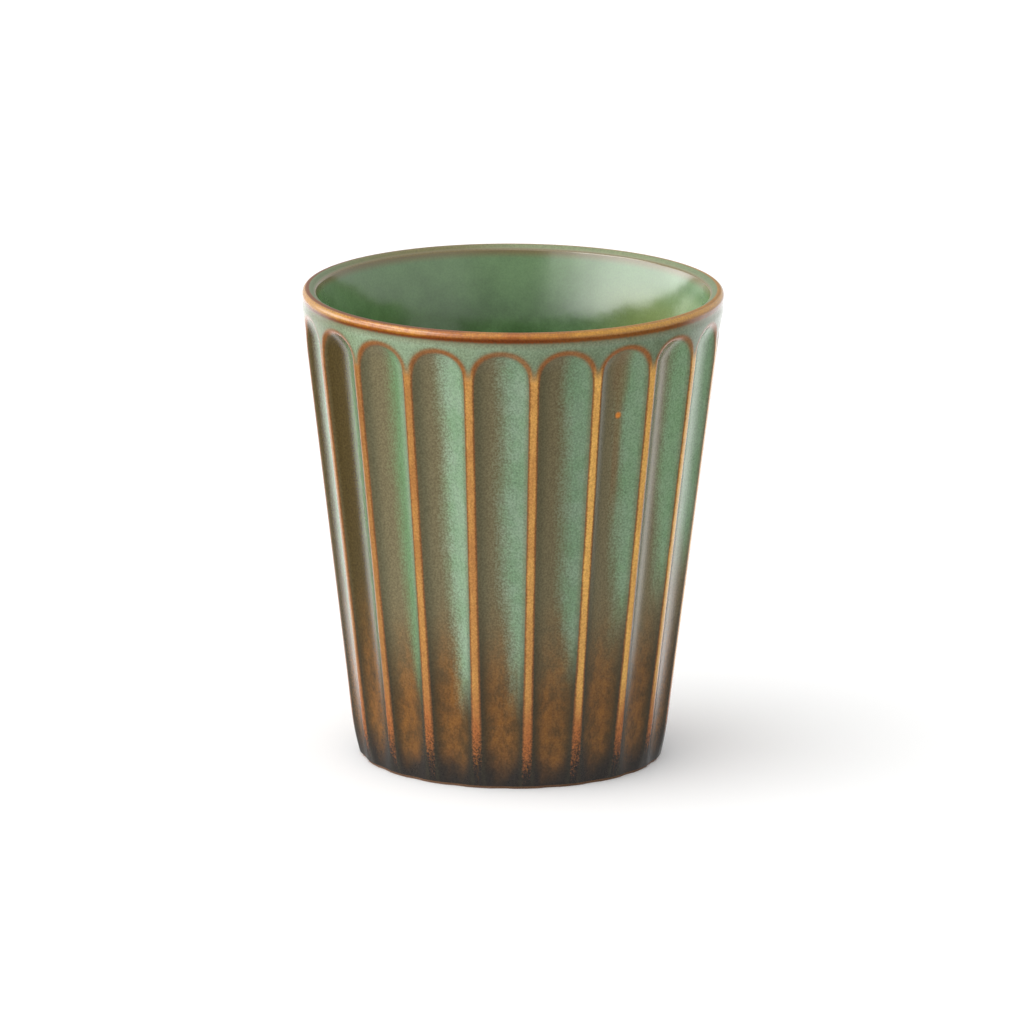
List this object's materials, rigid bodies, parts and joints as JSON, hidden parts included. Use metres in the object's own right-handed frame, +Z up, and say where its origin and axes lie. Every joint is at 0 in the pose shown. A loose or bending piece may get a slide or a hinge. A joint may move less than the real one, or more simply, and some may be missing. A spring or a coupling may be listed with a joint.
{
  "type": "latte cup",
  "caption": "Handleless stoneware latte cup: tapered wall with upright round-topped flutes, thin sloping lip, foot ring, green glaze that breaks to amber on the ridges.",
  "frame": {"origin": "on the table, under the middle of the foot ring", "axes": "+Z up along the axis of the cup, the middle of one flute faces -Y"},
  "size_m": [0.0871, 0.0872, 0.0986],
  "materials": {
    "bare_clay": "bare fired stoneware, brown, dry",
    "iron_glaze": "amber-brown iron glaze, gloss",
    "green_glaze": "pale green over-glaze, gloss, mottled",
    "liner_glaze": "green liner glaze, gloss"
  },
  "bodies": {
    "root": {"clay_body": "bare_clay", "iron_glaze": "iron_glaze", "collar_glaze": "green_glaze", "flute_glaze": "green_glaze", "liner_glaze": "liner_glaze", "underside_glaze": "liner_glaze"}
  },
  "joints": []
}
